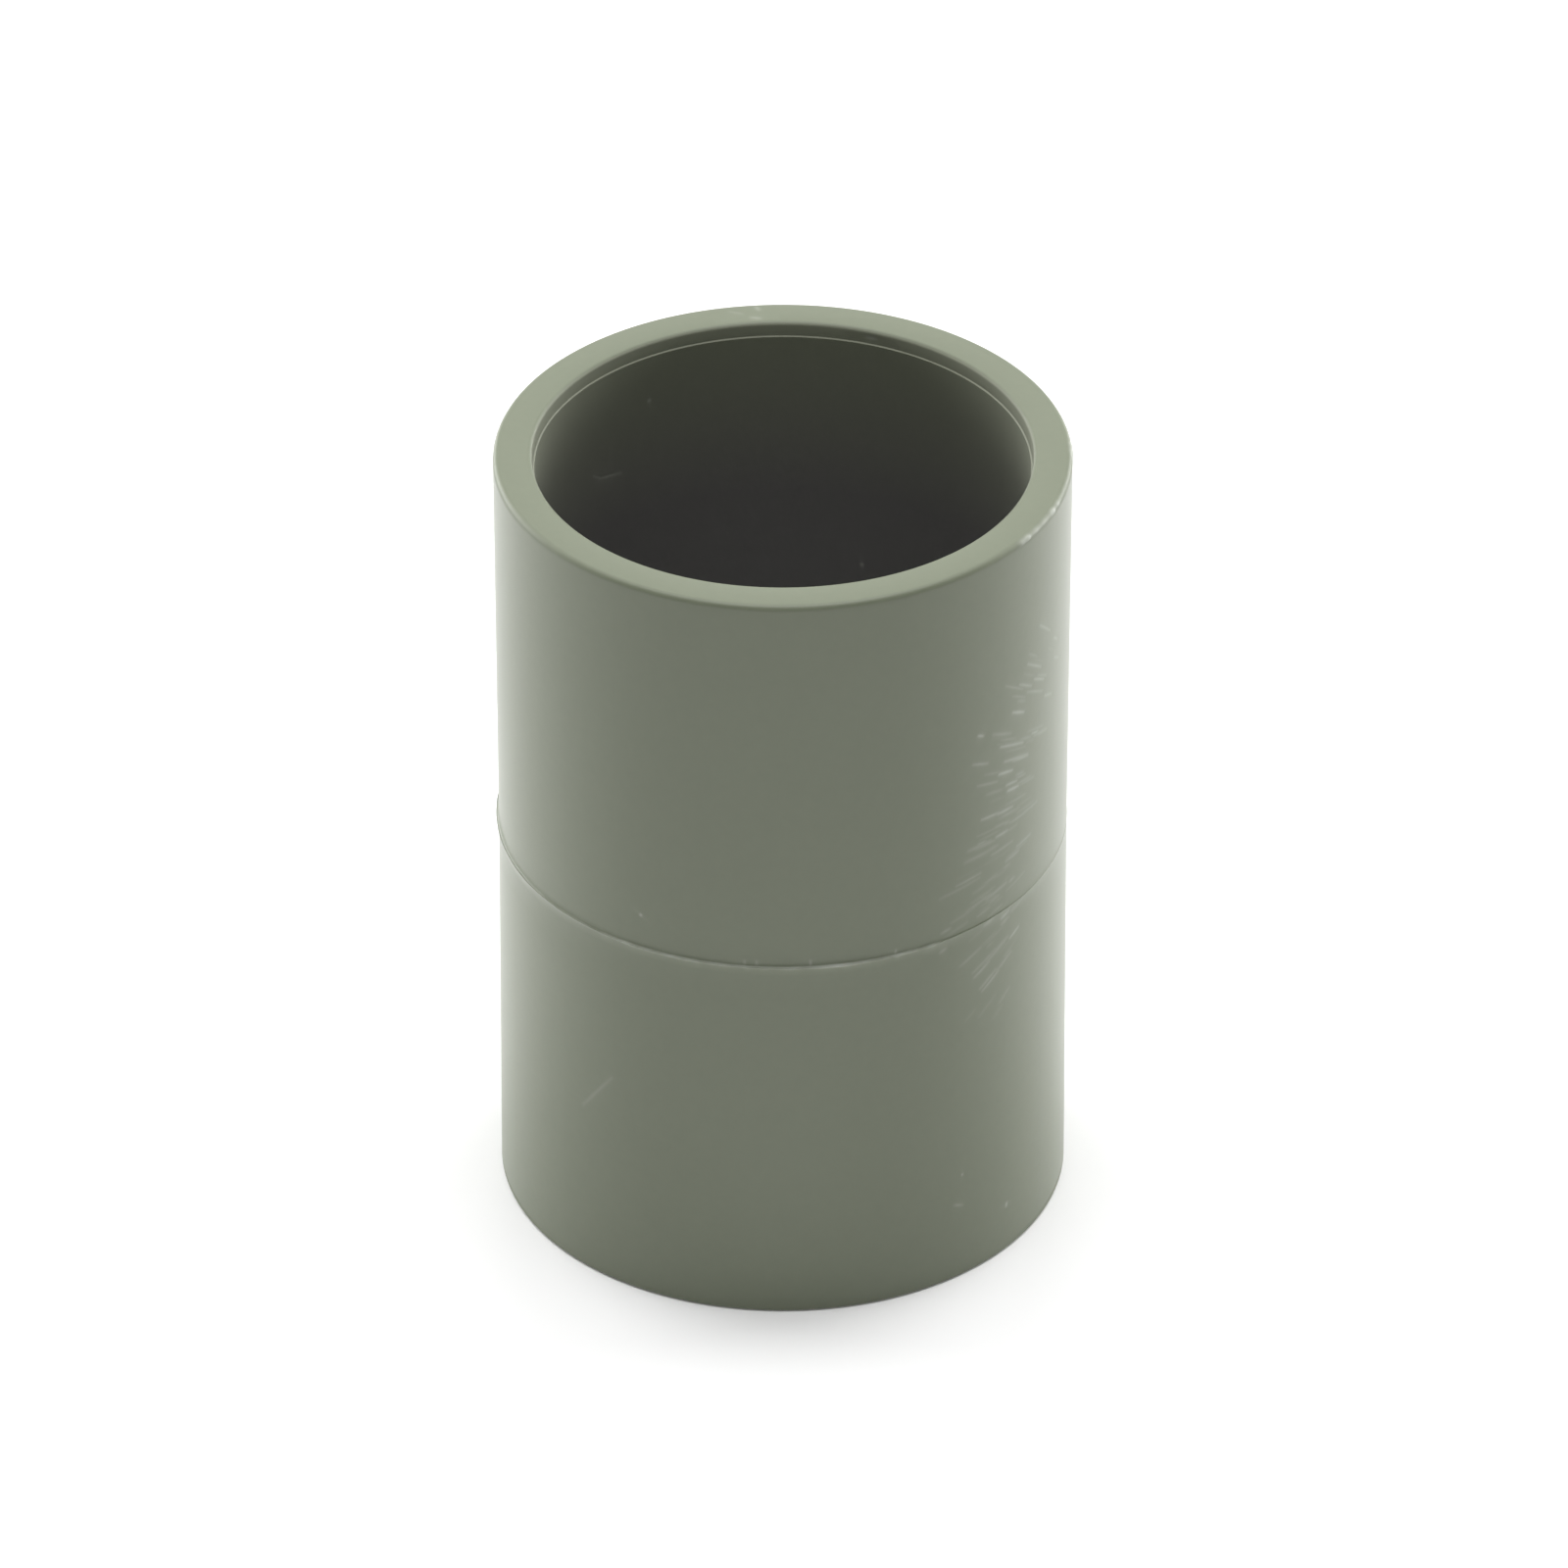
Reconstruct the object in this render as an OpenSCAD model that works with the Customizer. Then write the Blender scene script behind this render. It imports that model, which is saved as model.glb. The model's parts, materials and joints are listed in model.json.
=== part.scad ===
// Plain coupling for rigid conduit, moulded in one piece from grey-green plastic.
// Millimetres. It stands on one end: the origin is the centre of that end face and +Z runs up its axis.
// The whole part is one turned section, drawn in the half plane where x is the radius.

/* [Conduit and sockets] */
// Outside diameter of the conduit that each socket takes
conduit_od = 25; // [12:0.5:63]
// Gap between the conduit and the socket wall, all round
socket_gap = 0.1; // [0.05:0.01:0.3]
// Wall between the socket and the outside, at the mouths
wall = 2.1; // [1.4:0.05:4]
// Length from end face to end face
length = 42.9; // [24:0.1:120]

/* [Lead-in at each mouth] */
// Depth of the wider lead-in, down to the top of its ledge
lead_depth = 0.75; // [0.5:0.05:3]
// How much wider the lead-in is than the socket at that ledge, on the radius
lead_step = 0.1; // [0.05:0.01:0.4]
// How much further the lead-in opens out on its way up to the mouth, on the radius
lead_flare = 0.02; // [0.01:0.01:0.3]

/* [Centre stop] */
// How far the ring stands in from the socket wall
stop_h = 1.3; // [0.8:0.1:2.5]
// Width of the ring along the axis: each conduit end seats on one of its flat flanks
stop_w = 2.4; // [1:0.1:5]
// Radius of the two edges of its crest
stop_edge_r = 0.3; // [0.1:0.05:0.4]
// Radius where each flank runs into the socket wall
stop_root_r = 0.25; // [0.1:0.05:0.4]

/* [Outside] */
// How far the outside draws in from the mouths to the mould line, on the radius
waist = 0.075; // [0.02:0.005:0.4]
// Radius of the outer edge of each end face
outer_edge_r = 0.3; // [0.1:0.05:0.6]
// Radius of the inner edge of each end face
inner_edge_r = 0.2; // [0.1:0.05:0.35]

/* [Mould line] */
// How far the line lies below mid-length
line_drop = 0.15; // [0:0.05:1]
// How far the flash along the line stands out from the wall, and radius of the hollow above its crest
flash_h = 0.12; // [0.05:0.01:0.25]
// Length of the slope that runs back into the wall below it
flash_slope = 0.6; // [0.3:0.05:2]

/* [Hidden] */
$fn = 180;

// Small reach by which a cutting shape passes the face that it cuts
over = 0.5;

// Radii
socket_r = conduit_od / 2 + socket_gap;
ledge_r = socket_r + lead_step;
mouth_r = ledge_r + lead_flare;
outer_r = socket_r + wall;
waist_r = outer_r - waist;
way_r = socket_r - stop_h;

// Places along the axis, measured up from mid-length
end_z = length / 2;
ledge_top_z = end_z - lead_depth;
ledge_foot_z = ledge_top_z - lead_step;
flank_z = stop_w / 2;
line_z = -line_drop;

// What a round edge takes off a square corner whose solid lies towards -x and -y
module edge_cut(radius) {
    difference() {
        translate([-radius, -radius]) square(radius + over);
        translate([-radius, -radius]) circle(r = radius);
    }
}

// What a round root adds in a square corner whose solid lies beyond +x and -y
module root_fill(radius) {
    difference() {
        translate([-radius, 0]) square(radius);
        translate([-radius, radius]) circle(r = radius);
    }
}

// The wall before its sockets are cut: waisted outside, with the flash along the mould line as a square bead,
// and as thick inside as the ring of the stop. A short upright land at each end carries the edge radius,
// and another one above the bead carries the hollow.
module blank_section() {
    polygon([
        [way_r, -end_z],
        [outer_r, -end_z],
        [outer_r, -end_z + outer_edge_r],
        [waist_r, line_z - flash_slope],
        [waist_r + flash_h, line_z],
        [waist_r + flash_h, line_z + flash_h],
        [waist_r, line_z + flash_h],
        [waist_r, line_z + 2 * flash_h],
        [outer_r, end_z - outer_edge_r],
        [outer_r, end_z],
        [way_r, end_z]
    ]);
}

// The hollow that turns the square bead into flash: it runs from the wall down and out to the crest
module flash_hollow() {
    translate([waist_r + flash_h, line_z + flash_h]) circle(r = flash_h);
}

// The upper socket: flat flank of the stop, socket wall, ledge and lead-in, open at the end face
module socket_section() {
    difference() {
        polygon([
            [way_r - over, flank_z],
            [socket_r, flank_z],
            [socket_r, ledge_foot_z],
            [ledge_r, ledge_top_z],
            [mouth_r, end_z - inner_edge_r],
            [mouth_r, end_z + over],
            [way_r - over, end_z + over]
        ]);
        translate([socket_r, flank_z]) root_fill(stop_root_r);
    }
}

// All that is taken off at the upper end: the socket and the three round edges
module end_cuts() {
    socket_section();
    translate([way_r, flank_z]) mirror([1, 0]) edge_cut(stop_edge_r);
    translate([mouth_r, end_z]) mirror([1, 0]) edge_cut(inner_edge_r);
    translate([outer_r, end_z]) edge_cut(outer_edge_r);
}

// The moulded body: one section turned about the axis
module coupling_body() {
    color([0.55, 0.57, 0.5])
    translate([0, 0, end_z])
    rotate_extrude()
    difference() {
        blank_section();
        flash_hollow();
        end_cuts();
        mirror([0, 1]) end_cuts();
    }
}

coupling_body();
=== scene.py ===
# %% [markdown]
# This lesson finishes a plain coupling for rigid conduit. The real object is one piece of grey-green plastic:
# a short tube with a deep socket at each end, a stop ring at the middle of the bore and a mould line round
# the outside. Its construction is already there as an exact solid, and the first cell loads that solid as a
# frame. The lesson then models what the eye sees: soft edges, the uneven flash of the mould line, burrs,
# scuffs and the plastic itself.

# %% Load the frame
import json
import math
import random

import bmesh
import bpy
import numpy as np
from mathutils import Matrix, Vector


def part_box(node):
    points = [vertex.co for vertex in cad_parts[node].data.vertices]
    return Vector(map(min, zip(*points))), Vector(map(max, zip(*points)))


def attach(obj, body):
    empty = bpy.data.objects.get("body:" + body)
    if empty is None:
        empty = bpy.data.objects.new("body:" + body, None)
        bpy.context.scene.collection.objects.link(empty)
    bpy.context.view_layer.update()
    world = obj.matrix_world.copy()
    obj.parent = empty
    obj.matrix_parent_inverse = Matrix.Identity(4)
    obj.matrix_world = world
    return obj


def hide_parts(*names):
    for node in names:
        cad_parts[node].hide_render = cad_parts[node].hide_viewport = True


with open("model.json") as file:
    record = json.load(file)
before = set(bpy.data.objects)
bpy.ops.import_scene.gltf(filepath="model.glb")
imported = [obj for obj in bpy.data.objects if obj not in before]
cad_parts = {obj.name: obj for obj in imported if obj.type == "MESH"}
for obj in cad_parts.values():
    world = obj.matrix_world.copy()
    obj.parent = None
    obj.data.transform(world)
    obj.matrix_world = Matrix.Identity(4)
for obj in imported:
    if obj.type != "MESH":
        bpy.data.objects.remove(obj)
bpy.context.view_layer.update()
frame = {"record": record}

# %% [markdown]
# The sizes come from the frame wherever it states them: the length from the solid's box, and the radius and
# length of a socket from its mount. The small forms that the frame doesn't state, such as the lead-in at the
# mouth, are named here once. All of them are in millimetres, because the tube is modelled a thousand times
# too large and brought to metres at the end. Blender's modelling tools merge and cut with tolerances that
# suit objects of that size.

# %% Name the sizes of the tube
MM = 0.001
body_low, body_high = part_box("coupling_body")
socket = next(mount for mount in frame["record"]["mounts"] if mount["name"] == "upper_socket")

length = (body_high[2] - body_low[2]) / MM
socket_r = socket["dims"]["r_mm"]
wall = 2.1
outer_r = socket_r + wall

lead_depth = 0.75
lead_step = 0.06
lead_flare = 0.06
stop_h = 1.3
stop_w = 2.4
waist = 0.075
middle = length / 2
line_z = middle - 0.15
print(f"tube: length {length:.2f}, socket radius {socket_r:.2f}, outside radius {outer_r:.2f} mm")

# %% [markdown]
# An operator acts on whatever is selected, so the lesson needs a safe way to select by place. One helper
# clears the object selection, and another goes over the points, edges or faces of the mesh that is open in
# edit mode and selects those whose centre passes a test.

# %% Make helpers that select by place
def let_go():
    """Leaves edit mode and deselects every object."""
    if bpy.context.object and bpy.context.object.mode != "OBJECT":
        bpy.ops.object.mode_set(mode="OBJECT")
    bpy.ops.object.select_all(action="DESELECT")


def centre_of(element):
    """The middle of a point, an edge or a face."""
    points = [element] if isinstance(element, bmesh.types.BMVert) else element.verts
    return sum((point.co for point in points), Vector()) / len(points)


def pick(kind, test):
    """Selects the points, edges or faces of the open mesh whose centre passes test. Returns how many."""
    bpy.ops.mesh.select_mode(type={"verts": "VERT", "edges": "EDGE", "faces": "FACE"}[kind])
    bpy.ops.mesh.select_all(action="DESELECT")
    mesh = bmesh.from_edit_mesh(bpy.context.object.data)
    chosen = [element for element in getattr(mesh, kind) if test(centre_of(element))]
    for element in chosen:
        element.select_set(True)
    mesh.select_flush_mode()
    bmesh.update_edit_mesh(bpy.context.object.data)
    return len(chosen)


def near(a, b, reach=0.001):
    """True if two lengths agree to a thousandth of a millimetre, or to reach."""
    return abs(a - b) < reach

# %% [markdown]
# The mould for such a part is turned on a lathe, so the part is one section swept round an axis. It could be
# built from cylinders and booleans, but the mouth, the stop and the mould line then need many cuts that all
# have to meet. Drawing the half section once and spinning it gives every ring at the same time. The section
# starts as a plane that stands in the XZ plane, as wide as the wall and as long as the tube.

# %% Start the half section from a plane
let_go()
bpy.ops.mesh.primitive_plane_add(
    size=1, location=(socket_r + wall / 2, 0, middle), rotation=(math.radians(90), 0, 0)
)
tube = bpy.context.object
tube.name = tube.data.name = "moulded_body"
tube.scale = (wall, length, 1)
bpy.ops.object.transform_apply(location=True, rotation=True, scale=True)
print("section plane:", [round(size, 2) for size in tube.dimensions], "mm")

# %% [markdown]
# Bisect cuts the plane at the heights where the section turns. The plane is first split along its middle, so
# that the cuts of the bore stay out of the outside and the other way round.

# %% Cut the section at the heights where it turns
flash_reach_up = 0.35
lip_reach_up = 0.06
flash_reach_down = 0.6
land = 0.35
flank_heights = (middle - stop_w / 2, middle + stop_w / 2)
ledge_depths = (lead_depth, lead_depth + lead_step)
bore_heights = (*flank_heights, *ledge_depths, *(length - depth for depth in ledge_depths))
above_line = [flash_reach_up * share ** 2 for share in (1, 0.86, 0.72, 0.58, 0.46)]
above_line += [lip_reach_up * share for share in (0.7, 0.4, 0.17, 0.04)]
below_line = [flash_reach_down * share ** 2 for share in (1, 0.7, 0.45, 0.25)]
line_heights = [line_z, *(line_z + rise for rise in above_line), *(line_z - drop for drop in below_line)]
outside_heights = (land, *line_heights, length - land)


def cut(point, normal):
    """Bisects what is selected."""
    bpy.ops.mesh.bisect(plane_co=point, plane_no=normal, threshold=0.0001)


wall_middle = socket_r + wall / 2
bpy.ops.object.mode_set(mode="EDIT")
bpy.ops.mesh.select_all(action="SELECT")
cut((wall_middle, 0, 0), (1, 0, 0))
for height in bore_heights:
    pick("faces", lambda place: place.x < wall_middle)
    cut((0, 0, height), (0, 0, 1))
for height in outside_heights:
    pick("faces", lambda place: place.x > wall_middle)
    cut((0, 0, height), (0, 0, 1))
print("heights cut:", len(bore_heights), "in the bore,", len(outside_heights), "outside")

# %% [markdown]
# The stop ring keeps the two conduit ends apart. It is extruded from the bore side of the section between
# the two flank heights.

# %% Extrude the stop
pick("edges", lambda place: near(place.x, socket_r) and near(place.z, middle))
bpy.ops.mesh.extrude_edges_move(TRANSFORM_OT_translate={"value": (-stop_h, 0, 0)})
print(f"cable way through the stop: radius {socket_r - stop_h:.2f} mm")

# %% [markdown]
# At each mouth the bore steps out at a narrow ledge and flares a little more up to the end face, so that the
# conduit finds its way in. Here that is only four points that move outwards.

# %% Open the mouths
def shift_points(radius, height, outwards):
    """Moves the point of the section at that radius and height outwards."""
    pick("verts", lambda place: near(place.x, radius) and near(place.z, height))
    bpy.ops.transform.translate(value=(outwards, 0, 0))


for height in (lead_depth, length - lead_depth):
    shift_points(socket_r, height, lead_step)
for height in (0, length):
    shift_points(socket_r, height, lead_step + lead_flare)

# %% [markdown]
# Dissolve faces turns the patchwork into one flat face, which has only the corners of the outline. A vertex bevel
# then rounds them, each with the radius that the real edge has: soft round the outside of the upper end face,
# crisper at the foot and the mouth, and a fillet at the root of the stop so that the plastic flows round it.

# %% Round the corners of the section
outer_edge = 0.3
foot_edge = 0.2
inner_edge = 0.2
stop_edge = 0.3
stop_root = 0.25
mouth_r = socket_r + lead_step + lead_flare


def round_corners(radius, places, segments):
    """Vertex bevel on the corners at those (x, z) places."""
    pick("verts", lambda point: any(near(point.x, x) and near(point.z, z) for x, z in places))
    bpy.ops.mesh.bevel(offset=radius, segments=segments, profile=0.5, affect="VERTICES")


bpy.ops.mesh.select_all(action="SELECT")
bpy.ops.mesh.normals_make_consistent(inside=False)
bpy.ops.mesh.dissolve_faces()
round_corners(outer_edge, [(outer_r, length)], 8)
round_corners(foot_edge, [(outer_r, 0)], 5)
round_corners(inner_edge, [(mouth_r, 0), (mouth_r, length)], 5)
round_corners(stop_edge, [(socket_r - stop_h, height) for height in flank_heights], 5)
round_corners(stop_root, [(socket_r, height) for height in flank_heights], 4)
bpy.ops.object.mode_set(mode="OBJECT")
print("corner points of the section:", len(tube.data.vertices), "faces:", len(tube.data.polygons))

# %% [markdown]
# The face itself isn't needed, only its outline. The long straight edges get extra points, so that the
# faces of the tube come out nearly square and the smooth shading has something to hold on to. The outside
# gets them closer together than the bore, because the scuffs will need them there.

# %% Keep the outline and divide its long edges
outside_spacing = 1.2
bore_spacing = 2


def divide_long_edges(test, spacing):
    """Puts evenly spaced points on each outline edge that passes the test and is longer than spacing."""
    mesh = bmesh.from_edit_mesh(tube.data)
    centres = [centre_of(edge) for edge in mesh.edges if edge.calc_length() > spacing and test(centre_of(edge))]
    for centre in centres:
        pick("edges", lambda place: (place - centre).length < 0.001)
        chosen = next(edge for edge in bmesh.from_edit_mesh(tube.data).edges if edge.select)
        bpy.ops.mesh.subdivide(number_cuts=round(chosen.calc_length() / spacing) - 1)
    return len(centres)


bpy.ops.object.mode_set(mode="EDIT")
bpy.ops.mesh.select_all(action="SELECT")
bpy.ops.mesh.delete(type="ONLY_FACE")
divide_long_edges(lambda place: near(place.x, outer_r), outside_spacing)
divide_long_edges(lambda place: not near(place.x, outer_r), bore_spacing)
bpy.ops.object.mode_set(mode="OBJECT")
print("points on the outline:", len(tube.data.vertices))

# %% [markdown]
# Spin sweeps the outline once round the axis. The last ring falls on the first, so the doubles are merged.
# Only then are the normals recalculated, because a closed skin is needed to tell inside from outside.

# %% Spin the section into the tube
spin_steps = 288
bpy.ops.object.mode_set(mode="EDIT")
bpy.ops.mesh.select_all(action="SELECT")
bpy.ops.mesh.spin(
    steps=spin_steps, angle=math.tau, center=(0, 0, 0), axis=(0, 0, 1), use_auto_merge=False
)
bpy.ops.mesh.select_all(action="SELECT")
bpy.ops.mesh.remove_doubles(threshold=0.001)
bpy.ops.mesh.normals_make_consistent(inside=False)
bpy.ops.mesh.select_mode(type="VERT")
bpy.ops.mesh.select_all(action="DESELECT")
bpy.ops.mesh.select_non_manifold()
bpy.ops.object.mode_set(mode="OBJECT")
open_points = sum(point.select for point in tube.data.vertices)
print("faces after the spin:", len(tube.data.polygons), "open points:", open_points)

# %% [markdown]
# From here on the tube is shaped by weights: an array holds one number from 0 to 1 for each point, a vertex
# group stores it, and a modifier moves each point by that share. These helpers read where the points or faces
# are, store the weights and apply the modifier at once.

# %% Make helpers for weights and modifiers
def places_of(collection, field):
    """An array with one row of x, y and z for every point or face."""
    flat = np.empty(len(collection) * 3)
    collection.foreach_get(field, flat)
    return flat.reshape(-1, 3)


def round_the_axis(places):
    """Radius, azimuth in degrees and height. Azimuth 0 faces the camera, and plus is to the right."""
    x, y, z = places.T
    return np.hypot(x, y), np.degrees(np.arctan2(x, -y)), z


def shape_by_weights(name, weights, kind, **settings):
    """Stores the weights as a vertex group and applies a modifier that follows it."""
    group = tube.vertex_groups.new(name=name)
    for index in np.flatnonzero(weights > 0.0005):
        group.add([int(index)], float(min(weights[index], 1)), "REPLACE")
    modifier = tube.modifiers.new(name, kind)
    modifier.vertex_group = group.name
    for key, value in settings.items():
        setattr(modifier, key, value)
    bpy.ops.object.modifier_apply(modifier=modifier.name)


def pull_to_cylinder(name, weights, cylinder_r):
    """Moves the points sideways onto a cylinder of that radius, each by its share."""
    shape_by_weights(
        name, weights, "CAST", cast_type="CYLINDER", factor=1, use_z=False, use_radius_as_size=False, size=cylinder_r
    )

# %% [markdown]
# The right side of the coupling is scuffed by something rough that swept along it. The strokes fan out: they
# lie level a little above the mould line and tilt more the further they are from there. Each mark is a short
# line on a face of the tube as it looks unrolled, with its place in millimetres to the right and up. The
# plainest strokes are listed one by one, and the rest is a seeded scatter between them.

# %% Place the scuffs on the unrolled wall
LEVEL_HEIGHT = 25.5
TILT_PER_MM = -3.6
MAIN_STROKES = (
    (65, 36.3, 1.6, 0.5), (60.5, 34.7, 1.7, 0.6), (62.5, 33.6, 1.2, 0.6), (57, 34, 1.3, 0.5), (67, 32, 1, 0.5),
    (71, 34.8, 0.7, 0.5), (72, 33.5, 1, 0.5), (54.5, 32.7, 1.1, 0.9), (43, 32.7, 0.4, 0.8), (52.5, 31, 2, 0.8),
    (54, 30, 2.1, 0.7), (43, 31, 1.1, 0.5), (55.5, 29.8, 1.4, 0.7), (50.5, 29.6, 1.1, 1), (52.5, 28.7, 0.9, 0.7),
    (53, 28.3, 0.9, 1), (61, 30.6, 0.7, 0.5), (46, 27.5, 1.3, 0.6), (50.5, 27.3, 1.2, 0.7), (49.5, 26, 0.9, 0.6),
    (57, 24.6, 1.3, 0.4), (53, 24.2, 1.1, 0.4), (38, 24, 2.6, 0.25), (48, 22.7, 1.6, 0.4), (43, 22.6, 1.8, 0.3),
    (50.8, 20.9, 0.6, 0.7), (54, 19.4, 0.8, 0.6), (44, 18.4, 1.2, 0.45), (46.5, 17.4, 1.4, 0.45),
)
FAINT_STROKES = 110


def mark(right, up, size, strength, tilt, width=0.09):
    """One stroke or speck. Its right and up are millimetres on an unrolled face, its tilt is in degrees."""
    return {
        "right": right,
        "up": up,
        "half": size / 2,
        "strength": strength,
        "tilt": math.radians(tilt),
        "width": width,
    }


def wall_stroke(azimuth, height, size, strength, width=0.09):
    """A stroke of the fan, which takes its tilt from its height."""
    tilt = TILT_PER_MM * (height - LEVEL_HEIGHT)
    return mark(math.radians(azimuth) * outer_r, height, size, strength, tilt, width)


scatter = random.Random(7)
wall_marks = [wall_stroke(*row) for row in MAIN_STROKES]
while len(wall_marks) < len(MAIN_STROKES) + FAINT_STROKES:
    up = scatter.triangular(15, 37, 26)
    spine = 47 + 1.0 * max(0, up - 24) + 0.5 * math.sin(up)
    azimuth = scatter.gauss(spine, 5.5)
    if abs(azimuth - spine) < 15:
        size = scatter.uniform(0.4, 1.8)
        strength = scatter.uniform(0.08, 0.4)
        wall_marks.append(wall_stroke(azimuth, up, size, strength, width=scatter.uniform(0.06, 0.12)))
print("strokes in the fan:", len(wall_marks))

# %% [markdown]
# A few marks lie elsewhere: thin scratches and specks on the left and low on the right, four tiny burrs that
# rise from the mould line in front, two rubs on the end face at the back, and specks and a short scratch in the
# mouth of the socket. With them the three faces are described that carry marks: the wall, the end face and the
# socket. Each is unrolled at a radius of its own.

# %% Place the single marks on three faces
def at(azimuth, radius):
    """How far to the right an azimuth lies on a face that is unrolled at that radius."""
    return math.radians(azimuth) * radius


rim_r = (mouth_r + inner_edge + outer_r - outer_edge) / 2
wall_marks += [
    mark(at(-40.5, outer_r), 11.3, 3.2, 0.3, 52),
    mark(at(-29.5, outer_r), 23.2, 0.15, 0.8, 60),
    mark(at(39, outer_r), 6.3, 0.12, 0.5, 0),
    mark(at(38, outer_r), 4.5, 0.55, 0.4, -22),
    mark(at(52, outer_r), 2.8, 0.25, 0.8, 80),
    mark(at(-7.6, outer_r), line_z + 0.2, 0.25, 0.4, 90, width=0.07),
    mark(at(-5.2, outer_r), line_z + 0.2, 0.25, 0.4, 90, width=0.07),
    mark(at(5.5, outer_r), line_z + 0.2, 0.3, 0.5, 90, width=0.07),
    mark(at(23, outer_r), line_z + 0.15, 0.25, 0.5, 70, width=0.07),
]
rim_marks = [
    mark(at(-174.7, rim_r), 14.2, 0.4, 0.4, 70, width=0.12),
    mark(at(-174, rim_r), 13.25, 0.5, 0.35, 15, width=0.12),
    mark(at(-170, rim_r), 13.9, 0.7, 0.2, 30),
]
socket_marks = [
    mark(at(-147, socket_r), 39.5, 0.15, 0.9, 0, width=0.1),
    mark(at(161, socket_r), 28.7, 0.15, 0.8, 0, width=0.12),
    mark(at(159, socket_r), 42.5, 0.5, 0.5, 0, width=0.1),
    mark(at(-135, socket_r), 36, 1.6, 0.6, 12, width=0.07),
    mark(at(-131, socket_r), 36.3, 0.8, 0.5, 35, width=0.07),
]
faces_with_marks = {
    "wall": {
        "unrolled at": outer_r,
        "radii": (outer_r - 0.01, outer_r + 0.01),
        "heights": (land - 0.06, length - land + 0.06),
        "marks": wall_marks,
    },
    "end face": {
        "unrolled at": rim_r,
        "radii": (mouth_r + inner_edge - 0.01, outer_r - outer_edge + 0.01),
        "heights": (length - 0.001, length + 0.001),
        "marks": rim_marks,
    },
    "socket": {
        "unrolled at": socket_r,
        "radii": (socket_r - 0.01, mouth_r + 0.01),
        "heights": (middle + stop_w, length - inner_edge + 0.01),
        "marks": socket_marks,
    },
}
for name, face in faces_with_marks.items():
    print(name, "marks:", len(face["marks"]))

# %% [markdown]
# Two questions come up again and again: which points or faces lie on such a face of the tube, and how strongly
# the marks touch them. A mark is strongest on its line and fades sideways over its width, and it tapers
# towards its ends. A faint halo stays round the stronger ones, where the surface is rubbed dull.

# %% Measure how strongly the marks touch a place
def unroll(face, places):
    """For each place: its right and up on the face, and whether it lies on it."""
    radius, azimuth, height = round_the_axis(places)
    flat = face["heights"][1] - face["heights"][0] < 0.01
    inside = (radius > face["radii"][0]) & (radius < face["radii"][1])
    inside &= (height > face["heights"][0]) & (height < face["heights"][1])
    return np.radians(azimuth) * face["unrolled at"], radius if flat else height, inside


def touch(face, places, weakest=0):
    """For each place: its distance from the nearest mark, and how strongly the marks touch it."""
    right, up, inside = unroll(face, places)
    nearest = np.full(len(right), 99.0)
    touched = np.zeros(len(right))
    for each in face["marks"]:
        if each["strength"] < weakest:
            continue
        aside, rise = right - each["right"], up - each["up"]
        along = abs(aside * math.cos(each["tilt"]) + rise * math.sin(each["tilt"]))
        across = abs(rise * math.cos(each["tilt"]) - aside * math.sin(each["tilt"]))
        gap = np.hypot(np.maximum(along - each["half"], 0), across)
        nearest = np.minimum(nearest, gap)
        taper = np.clip(1.15 - 0.5 * along / each["half"], 0, 1)
        spread = np.exp(-((gap / each["width"]) ** 2)) + 0.15 * np.exp(-((gap / 0.5) ** 2))
        touched = np.maximum(touched, each["strength"] * taper * spread)
    return np.where(inside, nearest, 99), np.where(inside, np.minimum(touched, 1), 0)

# %% [markdown]
# A stroke is a tenth of a millimetre wide, much finer than the faces of the tube, so the skin is cut finer only
# where a mark is near. First the long faces there are divided into low ones, and then every face near a mark
# is cut in four, in rounds that close in on it.

# %% Cut the skin finer near the marks
def edit_with_nothing_selected(kind):
    """Opens edit mode for points, edges or faces with an empty selection."""
    bpy.ops.object.mode_set(mode="EDIT")
    bpy.ops.mesh.select_mode(type=kind)
    bpy.ops.mesh.select_all(action="DESELECT")


def lower_rows(face, reach, cuts):
    """Divides the long edges that run up the face near a mark."""
    edit_with_nothing_selected("EDGE")
    mesh = bmesh.from_edit_mesh(tube.data)
    edges = [edge for edge in mesh.edges if edge.calc_length() > 0.5]
    ends = [unroll(face, np.array([edge.verts[end].co for edge in edges]))[1] for end in (0, 1)]
    nearest, touched = touch(face, np.array([centre_of(edge) for edge in edges]))
    for index in np.flatnonzero((abs(ends[0] - ends[1]) > 0.5) & (nearest < reach)):
        edges[index].select_set(True)
    bmesh.update_edit_mesh(tube.data)
    bpy.ops.mesh.subdivide(number_cuts=cuts)
    bpy.ops.object.mode_set(mode="OBJECT")


def cut_in_four(chosen):
    """Subdivides the faces that are True in the array once."""
    edit_with_nothing_selected("FACE")
    bpy.ops.object.mode_set(mode="OBJECT")
    tube.data.polygons.foreach_set("select", chosen)
    bpy.ops.object.mode_set(mode="EDIT")
    bpy.ops.mesh.subdivide(number_cuts=1)
    bpy.ops.object.mode_set(mode="OBJECT")


for name, face in faces_with_marks.items():
    lower_rows(face, reach=1.2, cuts=3)
    for reach, weakest in ((0.4, 0), (0.2, 0), (0.12, 0.45)):
        nearest, touched = touch(face, places_of(tube.data.polygons, "center"), weakest)
        cut_in_four(nearest < reach)
    print(name, "cut: now", len(tube.data.polygons), "faces")

# %% [markdown]
# The outer top edge isn't clean either. At the right front it is burred and whitened, and further round it
# has a small lump that even breaks the outline. Its rounded band is cut finer there in the same way.

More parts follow.
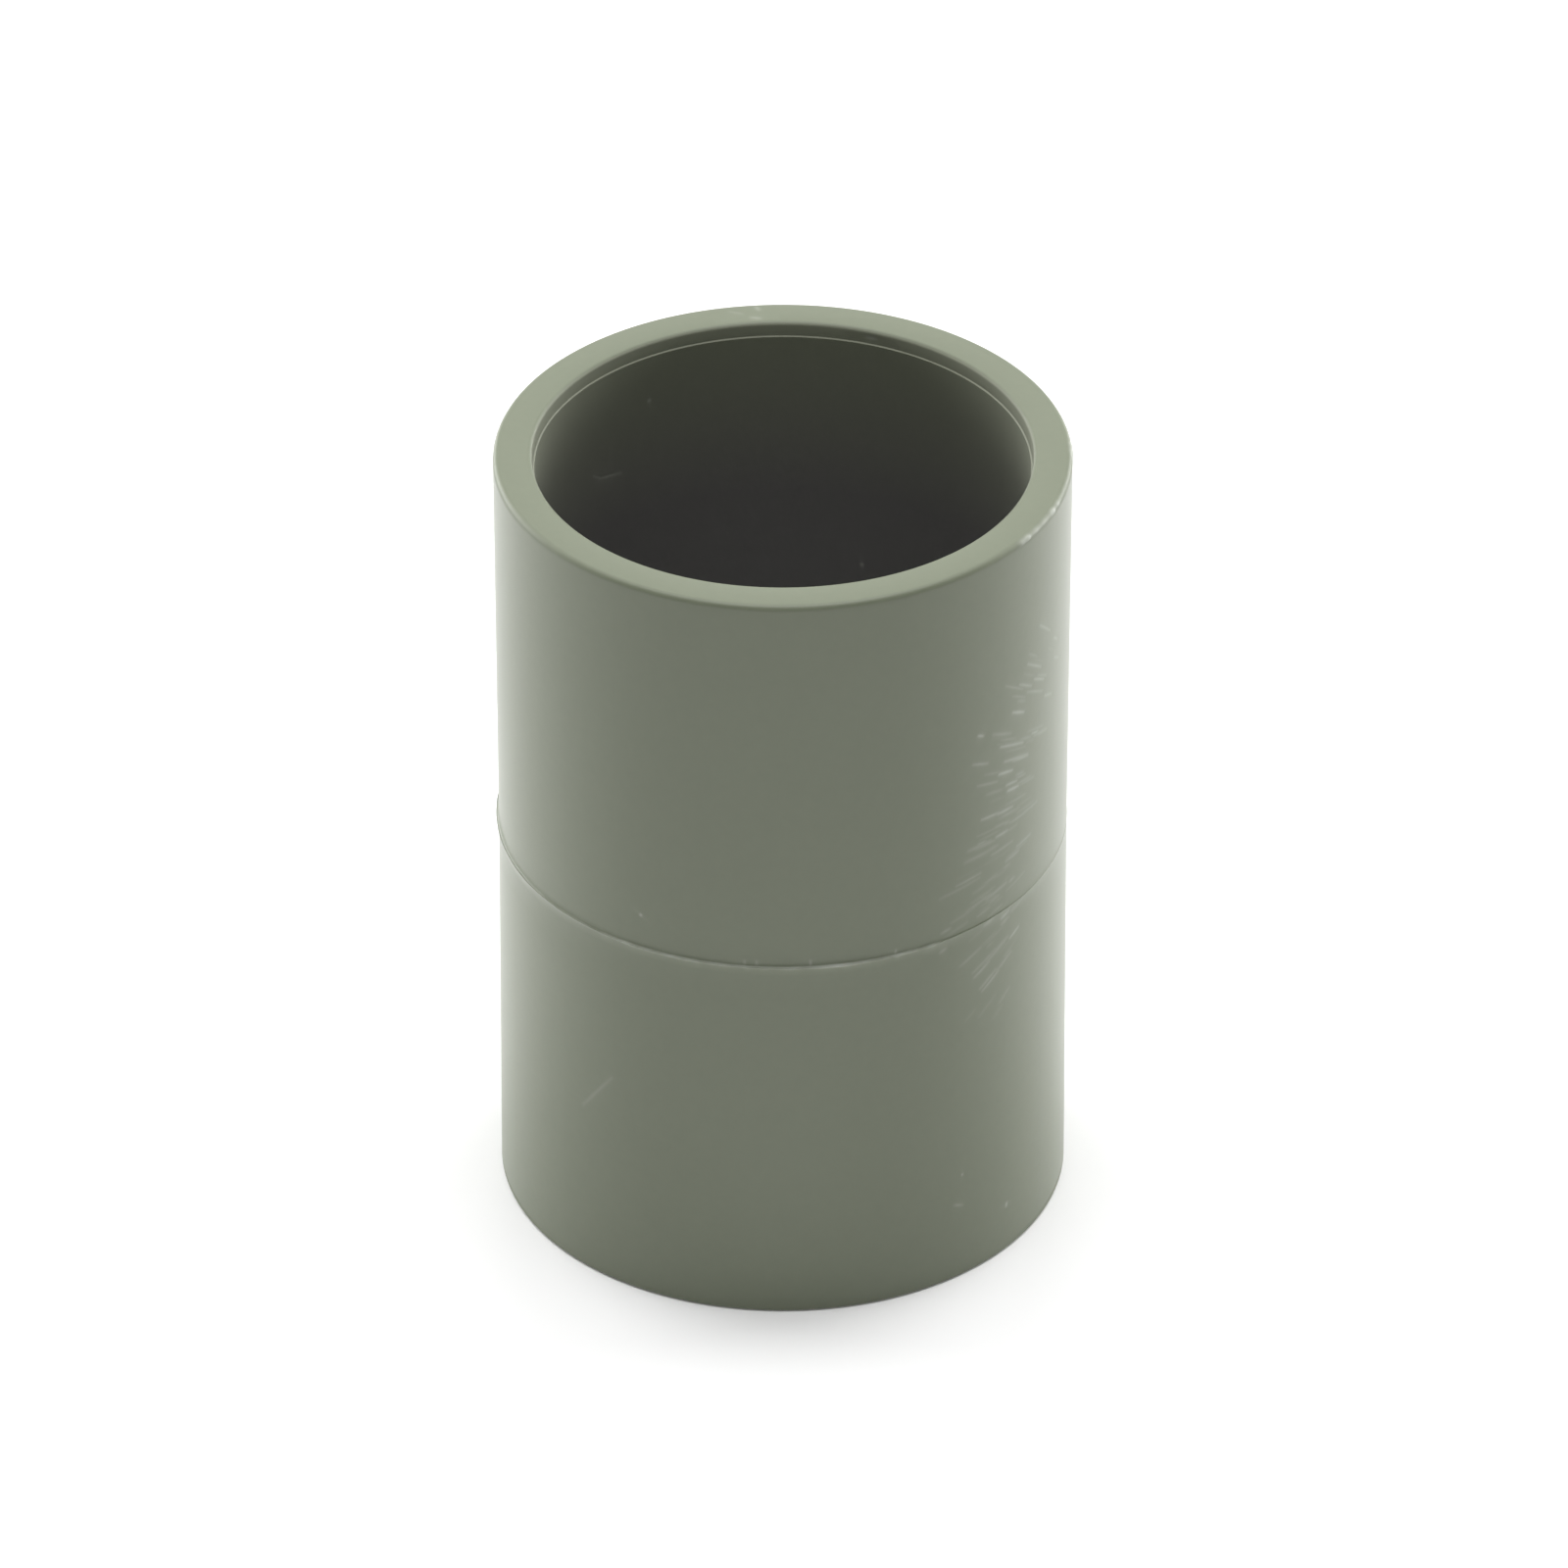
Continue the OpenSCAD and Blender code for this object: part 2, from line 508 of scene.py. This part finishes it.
# %% Cut the burred stretch of the top edge finer
EDGE_BUMPS = ((55.2, 1.2, 0.035), (57, 0.9, 0.06), (60, 1.8, 0.03), (64, 2, 0.025), (68, 1.1, 0.06),
              (71, 1, 0.025), (91, 1.6, 0.05), (93.5, 1.2, 0.045))
for turn in range(2):
    radius, azimuth, height = round_the_axis(places_of(tube.data.polygons, "center"))
    in_band = (height > length - outer_edge) & (radius > outer_r - outer_edge)
    near_bump = np.any([abs(azimuth - place) < 2 * width for place, width, _ in EDGE_BUMPS], axis=0)
    cut_in_four(in_band & near_bump)
print("top edge cut: now", len(tube.data.polygons), "faces")

# %% [markdown]
# Cutting a flat face leaves its new points on the flat, a hair inside the true circle. A Cast onto a cylinder
# makes the wall and the socket round again.

# %% Round the wall and the socket again
places = places_of(tube.data.vertices, "co")
radius, azimuth, height = round_the_axis(places)
on_wall = unroll(faces_with_marks["wall"], places)[2]
in_socket = unroll(faces_with_marks["socket"], places)[2] & (height < length - lead_depth - lead_step + 0.001)
pull_to_cylinder("round_wall", np.where(on_wall, 1.0, 0), outer_r)
pull_to_cylinder("round_socket", np.where(in_socket, 1.0, 0), socket_r)
radius, azimuth, height = round_the_axis(places_of(tube.data.vertices, "co"))
print(f"wall radius {radius[on_wall].min():.4f} to {radius[on_wall].max():.4f} mm")
print(f"socket radius {radius[in_socket].min():.4f} to {radius[in_socket].max():.4f} mm")

# %% [markdown]
# Each half of the mould tapers a few hundredths of a millimetre towards the mould line, so that the part lets
# go of it. A second Cast towards a slightly smaller cylinder gives that waist: its weight is 0 at the mouths
# and 1 at the line.

# %% Draw the outside in to a waist
half_length = np.where(height > line_z, length - land - line_z, line_z - land)
waist_share = np.clip(1 - abs(height - line_z) / half_length, 0, 1)
pull_to_cylinder("waist", np.where(on_wall, waist_share, 0), outer_r - waist)

# %% [markdown]
# The mould line is what makes this coupling look moulded. Where the halves of the mould met, a thin flash of
# plastic was squeezed out. The wall runs out to it in a shallow hollow, and a tiny lip ends level at its crest
# and catches the light from above. Below the crest it slopes away. On the real part it stands out well on the
# left and in front and is almost gone on the right, with a few tiny burrs. One more Cast pulls it out to a
# larger cylinder, and its weights are that outline round the tube times its section.

# %% Raise the flash unevenly round the tube
FLASH_HEIGHTS = ((-180, 0.05), (-130, 0.09), (-90, 0.135), (-55, 0.12), (-30, 0.17), (0, 0.18), (10, 0.21),
                 (25, 0.16), (40, 0.08), (60, 0.05), (90, 0.02), (130, 0.03), (180, 0.05))
BURRS = ((-12, 0.03), (-7, 0.05), (-4, 0.04), (1, 0.04), (8, 0.03), (12, 0.03), (23, 0.06), (30, 0.06), (31, 0.04))
flash_high = 0.26


def flash_height(azimuth):
    """How far the crest of the flash stands out round the tube."""
    azimuths, heights = zip(*FLASH_HEIGHTS)
    proud = np.interp(azimuth, azimuths, heights)
    turn = np.radians(azimuth)
    proud *= 1 + 0.06 * np.sin(11 * turn) + 0.05 * np.sin(23 * turn + 2) + 0.04 * np.sin(57 * turn + 1)
    for burr, more in BURRS:
        proud += more * np.exp(-(((azimuth - burr) / 0.6) ** 2))
    return proud


rise = height - line_z
lip = 1 - np.sqrt(1 - np.clip(1 - rise / lip_reach_up, 0, 1) ** 2)
hollow = 0.35 * np.clip(1 - rise / flash_reach_up, 0, 1) ** 2 + 0.65 * lip
slope = np.clip(1 + rise / flash_reach_down, 0, 1) ** 1.5
flash = flash_height(azimuth) * np.where(rise > 0, hollow, slope)
pull_to_cylinder("flash", np.where(on_wall, flash / flash_high, 0), outer_r - waist + flash_high)
radius, azimuth, height = round_the_axis(places_of(tube.data.vertices, "co"))
print(f"crest of the flash: radius {radius[on_wall & (abs(rise) < 0.001)].max():.3f} mm at most")

# %% [markdown]
# The bumps of the top edge are pulled out in the same way. They are highest halfway round the edge's own
# rounding and a little crumpled along it.

# %% Burr the top edge
bump_reach = 0.4
up_the_edge = np.clip((height - (length - outer_edge)) / outer_edge, 0, 1)
in_band = (up_the_edge > 0) & (radius > outer_r - outer_edge)
proud = sum(more * np.exp(-(((azimuth - place) / width) ** 2)) for place, width, more in EDGE_BUMPS)
proud *= np.where(in_band, np.sin(np.pi * up_the_edge) * (1 + 0.1 * np.sin(2.3 * azimuth)), 0)
pull_to_cylinder("edge_burr", np.clip(proud / (outer_r + bump_reach - radius), 0, 1), outer_r + bump_reach)
print(f"highest bump on the top edge: {proud.max():.3f} mm")

# %% [markdown]
# Now the marks press into the plastic by a hundredth of a millimetre or two. The same numbers are kept on the
# mesh as an attribute, so that the material can whiten and roughen it exactly where it is marked. The burred
# edge is whitened too. The same attribute also carries a painted highlight along the crest of the flash, the
# stronger the further the crest stands out, with two painted glints at 10 and 24 degrees.

# %% Press the marks in and remember them
mark_depth = 0.018
places = places_of(tube.data.vertices, "co")
touched = np.zeros(len(places))
for face in faces_with_marks.values():
    wider = {**face, "radii": (face["radii"][0] - waist, face["radii"][1] + flash_high)}
    touched = np.maximum(touched, touch(wider, places)[1])
shape_by_weights("marks", touched, "DISPLACE", direction="NORMAL", mid_level=0, strength=-mark_depth)

# Painted highlight along the crest of the flash: patchy round the tube, strongest where the flash stands out most,
# with painted glints at 10 and 24 degrees.
highlight_patches = 0.75 + 0.3 * np.sin(0.9 * azimuth) * np.sin(0.37 * azimuth + 1)
crest = np.clip((flash_height(azimuth) - 0.1) / 0.07, 0, 1) * highlight_patches
crest += 1.1 * np.exp(-(((azimuth - 10) / 3) ** 2)) + 0.6 * np.exp(-(((azimuth - 24) / 1.2) ** 2))
crest *= np.exp(-((rise / 0.055) ** 2))
whitened_and_highlight = np.maximum(touched, np.clip(proud / 0.035, 0, 1))
whitened_and_highlight = np.maximum(whitened_and_highlight, np.where(on_wall, crest, 0))
scuff_and_highlight_attribute = tube.data.attributes.new("scuff", "FLOAT", "POINT")
scuff_and_highlight_attribute.data.foreach_set("value", whitened_and_highlight.astype(np.float32))
print("points under a mark:", int((touched > 0.05).sum()), "of", len(touched))

# %% [markdown]
# The tube now shrinks to its true size in metres. Smooth shading by angle keeps the crest of the flash and the
# ledge in the mouth as crisp edges, and a Weighted Normal modifier stops the small faces from tilting the
# shading of the large ones.

# %% Bring the tube to metres
tube.scale = (MM, MM, MM)
bpy.ops.object.transform_apply(location=True, rotation=True, scale=True)
bpy.ops.object.shade_smooth_by_angle(angle=math.radians(40))
even = tube.modifiers.new("even_shading", "WEIGHTED_NORMAL")
even.keep_sharp = True
bpy.ops.object.modifier_apply(modifier=even.name)
triangles = sum(len(face.vertices) - 2 for face in tube.data.polygons)
print("triangles:", triangles)

# %% [markdown]
# The plastic is solid grey-green PVC, satin as it came from the mould. A base colour alone looks like paint on
# a screen, so the nodes add what light finds on the real thing: a fine mottle in the pigment, a bore that is
# duller, end faces dulled by handling, and whitened marks. They also paint light and shade into the colour: the
# mouth of the bore is painted lighter, painted shade makes the bore darker and greyer the deeper it goes, and a
# painted highlight runs along the crest of the flash. The colours and the two degrees of roughness are named first.

# %% Name the colours of the plastic
PALER = (0.173, 0.194, 0.132, 1)
DARKER = (0.161, 0.182, 0.124, 1)
# Painted light and shade in the bore: a lighter colour at the mouth, and a darker, greyer one deep inside.
SOCKET_MOUTH_PAINTED_LIGHT = (0.225, 0.24, 0.178, 1)
SOCKET_DEPTH_PAINTED_SHADE = (0.142, 0.138, 0.135, 1)
# The colour of the whitened marks, also used for the painted highlight along the crest of the flash.
WHITENED_AND_HIGHLIGHT = (0.48, 0.5, 0.45, 1)
SATIN = 0.3
DULL = 0.5

plastic = bpy.data.materials.new("moulded_plastic")
plastic.use_nodes = True
nodes = plastic.node_tree.nodes
links = plastic.node_tree.links
shader = nodes["Principled BSDF"]
shader.inputs["IOR"].default_value = 1.5
print("material:", plastic.name)

# %% [markdown]
# A small helper adds a node and sets its inputs, and another one makes a colour mix. Object coordinates are in
# metres here and have their origin on the tube's axis, so their length across the axis is the radius.

# %% Find how deep in the bore a place lies
def add_node(kind, **values):
    """Adds a shader node and sets inputs by name, with spaces written as underscores."""
    node = nodes.new(kind)
    for key, value in values.items():
        node.inputs[key.replace("_", " ")].default_value = value
    return node


def mix_colours(share, first, second):
    """Mixes two colours, each a value or a socket, by the share that a socket gives."""
    mix = nodes.new("ShaderNodeMix")
    mix.data_type = "RGBA"
    links.new(share, mix.inputs["Factor"])
    for socket_in, colour in ((mix.inputs[6], first), (mix.inputs[7], second)):
        if isinstance(colour, tuple):
            socket_in.default_value = colour
        else:
            links.new(colour, socket_in)
    return mix.outputs[2]


def map_range(value, low, high, to_low=0, to_high=1):
    """Maps a value from one range to another and clamps it there."""
    node = add_node("ShaderNodeMapRange", From_Min=low, From_Max=high, To_Min=to_low, To_Max=to_high)
    links.new(value, node.inputs["Value"])
    return node.outputs["Result"]


def calculate(operation, first, second):
    """One arithmetic node. second is a number or a socket."""
    node = nodes.new("ShaderNodeMath")
    node.operation = operation
    links.new(first, node.inputs[0])
    if isinstance(second, (int, float)):
        node.inputs[1].default_value = second
    else:
        links.new(second, node.inputs[1])
    return node.outputs["Value"]


coordinates = nodes.new("ShaderNodeTexCoord")
split = nodes.new("ShaderNodeSeparateXYZ")
links.new(coordinates.outputs["Object"], split.inputs["Vector"])
across = calculate(
    "SQRT",
    calculate("ADD", calculate("MULTIPLY", split.outputs["X"], split.outputs["X"]),
              calculate("MULTIPLY", split.outputs["Y"], split.outputs["Y"])),
    0,
)
inside_bore = calculate("LESS_THAN", across, (mouth_r + 0.05) * MM)
height_from_middle = calculate("ABSOLUTE", calculate("SUBTRACT", split.outputs["Z"], middle * MM), 0)
# The share of painted shade in the bore: 0 at the mouth, 1 from 10 mm in.
bore_shade_share = map_range(height_from_middle, (middle - 0.5) * MM, (middle - 10) * MM)
print("the bore is darkest from 10 mm in")

# %% [markdown]
# The mottle is a noise about half a millimetre wide that shifts the colour by a few parts in a hundred. The
# gloss varies more slowly, by a noise several millimetres wide, which is what a mould polished by hand leaves.
# The attribute of the mesh whitens the marks and paints the highlight along the crest of the flash. In the bore
# the colour is painted lighter at the mouth and painted shade deeper in. The marks and the end faces are duller
# than the wall, and the bore, which no hand ever polishes, is the dullest.

# %% Colour the plastic
mottle = add_node("ShaderNodeTexNoise", Scale=1800.0, Detail=2.0, Roughness=0.6)
links.new(coordinates.outputs["Object"], mottle.inputs["Vector"])
mottled = mix_colours(mottle.outputs["Fac"], PALER, DARKER)
# Painted shade in the bore, from the painted lighter mouth to the darker, greyer depth.
painted_bore_shade = mix_colours(bore_shade_share, SOCKET_MOUTH_PAINTED_LIGHT, SOCKET_DEPTH_PAINTED_SHADE)
with_painted_bore_shade = mix_colours(inside_bore, mottled, painted_bore_shade)
# This attribute whitens the marks and paints the highlight along the crest of the flash.
scuff = nodes.new("ShaderNodeAttribute")
scuff.attribute_name = "scuff"
whitening_and_highlight = calculate("MULTIPLY", scuff.outputs["Fac"], 0.5)
links.new(mix_colours(whitening_and_highlight, with_painted_bore_shade, WHITENED_AND_HIGHLIGHT), shader.inputs["Base Color"])

polish = add_node("ShaderNodeTexNoise", Scale=160.0, Detail=1.0, Roughness=0.5)
links.new(coordinates.outputs["Object"], polish.inputs["Vector"])
gloss = map_range(polish.outputs["Fac"], 0, 1, SATIN - 0.015, SATIN + 0.015)
near_an_end = map_range(height_from_middle, (middle - 0.5) * MM, (middle - 0.25) * MM)
dull_bore = calculate("MULTIPLY", inside_bore, 1.8)
dull_share = calculate("MAXIMUM", calculate("MAXIMUM", scuff.outputs["Fac"], dull_bore), near_an_end)
dulled = calculate("MULTIPLY", dull_share, DULL - SATIN)
links.new(calculate("ADD", gloss, dulled), shader.inputs["Roughness"])
print("colour nodes:", len(nodes))

# %% [markdown]
# The surface isn't quite even either. A very fine grain, a few thousandths of a millimetre high, breaks up the
# reflections just enough to tell plastic from glass.

# %% Add the grain of the surface
grain = add_node("ShaderNodeTexNoise", Scale=2600.0, Detail=2.0, Roughness=0.5)
links.new(coordinates.outputs["Object"], grain.inputs["Vector"])
bump = add_node("ShaderNodeBump", Strength=0.12, Distance=0.00002)
links.new(grain.outputs["Fac"], bump.inputs["Height"])
links.new(bump.outputs["Normal"], shader.inputs["Normal"])
tube.data.materials.append(plastic)
print("nodes in the plastic:", len(nodes))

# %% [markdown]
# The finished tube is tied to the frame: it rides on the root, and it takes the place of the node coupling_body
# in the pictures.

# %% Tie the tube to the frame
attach(tube, "root")
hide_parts("coupling_body")
print("tied to the frame:", tube.name)

# %% [markdown]
# The stage is a large pale floor. As on a light table it also glows a little from below, which keeps the
# shadow in front of the tube light and lifts the lower end of its wall. It lies a hundredth of a millimetre
# under the tube, so that the two never flicker into each other.

# %% Lay the floor
let_go()
bpy.ops.mesh.primitive_plane_add(size=6, location=(0, 0, -0.00001))
floor = bpy.context.object
floor.name = "pale_floor"
pale = bpy.data.materials.new("pale_floor")
pale.use_nodes = True
pale_shader = pale.node_tree.nodes["Principled BSDF"]
pale_shader.inputs["Base Color"].default_value = (0.86, 0.86, 0.86, 1)
pale_shader.inputs["Roughness"].default_value = 1
pale_shader.inputs["Specular IOR Level"].default_value = 0
pale_shader.inputs["Emission Color"].default_value = (1, 1, 1, 1)
pale_shader.inputs["Emission Strength"].default_value = 0.09
floor.data.materials.append(pale)
print("floor:", [round(size, 2) for size in floor.dimensions], "m")

# %% [markdown]
# The photo tells where its light came from. The wall is brightest along both outlines and dark in front, so
# large panels stand behind the tube on both sides. The end face is bright and even, so there is a box
# overhead. Hardly anything lights the front apart from the floor. Brightness is given as what the panel itself
# would show, 1 being paper white, and a lamp's energy follows from it and the panel's area. The world is black,
# so that only the panels light the scene.

# %% Hang the lights
PANELS = (
    ("left_back_panel", (-0.32, 0.32, 0.25), (0.4, 0.5), 2),
    ("right_back_panel", (0.32, 0.32, 0.25), (0.4, 0.5), 2),
    ("left_low_strip", (-0.4, 0.3, 0.1), (0.4, 0.2), 6.9),
    ("right_low_strip", (0.4, 0.3, 0.1), (0.4, 0.2), 6.9),
    ("back_panel", (0, 0.5, 0.3), (0.2, 0.3), 2.4),
    ("overhead_box", (0, 0, 0.6), (0.5, 0.4), 5.9),
    ("front_box", (0, -0.35, 0.45), (0.5, 0.3), 0.4),
)

world = bpy.data.worlds.new("dark_studio")
world.use_nodes = True
world.node_tree.nodes["Background"].inputs["Color"].default_value = (0, 0, 0, 1)
bpy.context.scene.world = world


def hang_panel(name, place, size, brightness):
    """A soft panel that faces the middle of the tube."""
    lamp = bpy.data.lights.new(name, "AREA")
    lamp.shape = "RECTANGLE"
    lamp.size, lamp.size_y = size
    lamp.energy = brightness * math.pi * size[0] * size[1]
    panel = bpy.data.objects.new(name, lamp)
    bpy.context.collection.objects.link(panel)
    panel.location = place
    aim = Vector((0, 0, middle * MM)) - panel.location
    panel.rotation_euler = aim.to_track_quat("-Z", "Y").to_euler()
    return panel


for row in PANELS:
    panel = hang_panel(*row)
    print(f"{panel.name}: {panel.data.energy:.2f} W")

# %% [markdown]
# The camera stands where the photo was taken from: 33 degrees above level and 0.71 metres away, with a long
# lens. These come from fitting the outline and the ellipses of the mouth to the photo. The tube's centre
# falls a little below the middle of the frame, so the camera aims at a point next to it.

# %% Place the camera
PHOTO_WIDTH = 1600
SENSOR = 36
LENS = 318.4
VIEW_ELEVATION = math.radians(33.14)
CAMERA_DISTANCE = 0.71442
TUBE_CENTRE_PX = (798.8, 823.1)

focal_px = LENS / SENSOR * PHOTO_WIDTH
tube_centre = Vector((0, 0, middle * MM))
to_camera = Vector((0, -math.cos(VIEW_ELEVATION), math.sin(VIEW_ELEVATION)))
upwards = Vector((0, math.sin(VIEW_ELEVATION), math.cos(VIEW_ELEVATION)))
aim_right = (PHOTO_WIDTH / 2 - TUBE_CENTRE_PX[0]) / focal_px * CAMERA_DISTANCE
aim_up = (TUBE_CENTRE_PX[1] - PHOTO_WIDTH / 2) / focal_px * CAMERA_DISTANCE

camera_data = bpy.data.cameras.new("camera")
camera_data.lens = LENS
camera_data.sensor_width = SENSOR
camera_data.clip_start = 0.01
camera_data.clip_end = 20
camera = bpy.data.objects.new("camera", camera_data)
bpy.context.collection.objects.link(camera)
camera.location = tube_centre + to_camera * CAMERA_DISTANCE
aim_point = tube_centre + Vector((aim_right, 0, 0)) + upwards * aim_up
camera.rotation_euler = (aim_point - camera.location).to_track_quat("-Z", "Y").to_euler()
bpy.context.scene.camera = camera
print("camera at", [round(c, 3) for c in camera.location])

# %% [markdown]
# The lights were balanced for a plain conversion of light to screen colours, so the view transform is set to
# Standard.

# %% Set the view transform
bpy.context.scene.view_settings.view_transform = "Standard"
